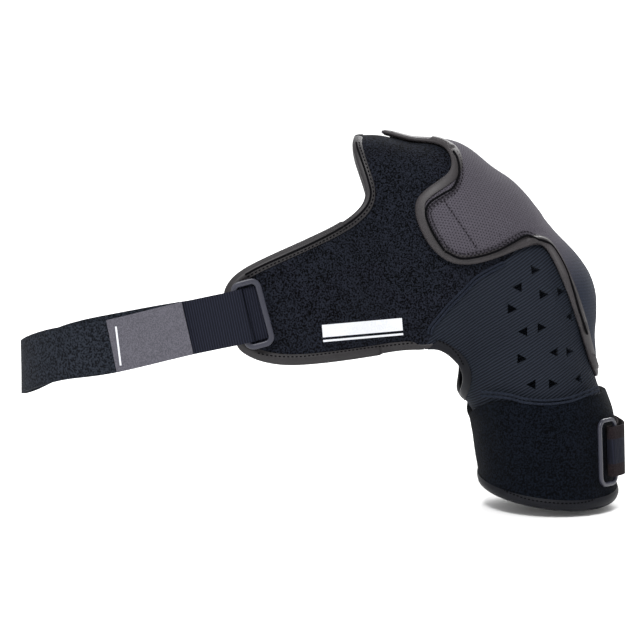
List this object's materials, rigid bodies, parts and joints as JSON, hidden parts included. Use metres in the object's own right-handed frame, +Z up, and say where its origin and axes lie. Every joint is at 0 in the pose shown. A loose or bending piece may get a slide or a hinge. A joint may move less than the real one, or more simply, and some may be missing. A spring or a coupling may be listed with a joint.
{
  "type": "shoulder brace",
  "caption": "One-shoulder support brace with chest and back panels, a perforated shoulder panel, a loose over-flap, an upper-arm cuff and a chest strap through an oblong ring.",
  "frame": {"origin": "top of the wearer's left shoulder, where the brace sits", "axes": "+X towards the wearer's left (out along the shoulder), -Y the way the wearer faces, +Z up"},
  "size_m": [0.4655, 0.2171, 0.2864],
  "materials": {
    "plush_neoprene": "black plush loop-faced neoprene",
    "ribbed_knit": "black ribbed knit over neoprene",
    "spacer_mesh": "grey textured mesh",
    "edge_binding": "dark grey folded binding tape",
    "black_webbing": "black woven elastic webbing",
    "ring_plastic": "satin grey moulded plastic"
  },
  "bodies": {
    "root": {"front_panel": "plush_neoprene", "back_panel": "plush_neoprene", "ribbed_shoulder_panel": "ribbed_knit", "arm_cuff": "plush_neoprene", "over_flap": "spacer_mesh", "front_edge_tape": "edge_binding", "back_edge_tape": "edge_binding", "armpit_edge_tape": "edge_binding", "flap_front_tape": "edge_binding", "flap_back_tape": "edge_binding", "cuff_hem_tape": "edge_binding", "chest_strap": "plush_neoprene", "elastic_web": "black_webbing", "hook_tab": "spacer_mesh", "hook_pad": "black_webbing", "chest_ring": "ring_plastic", "arm_ring": "ring_plastic", "arm_tab": "black_webbing"}
  },
  "joints": []
}
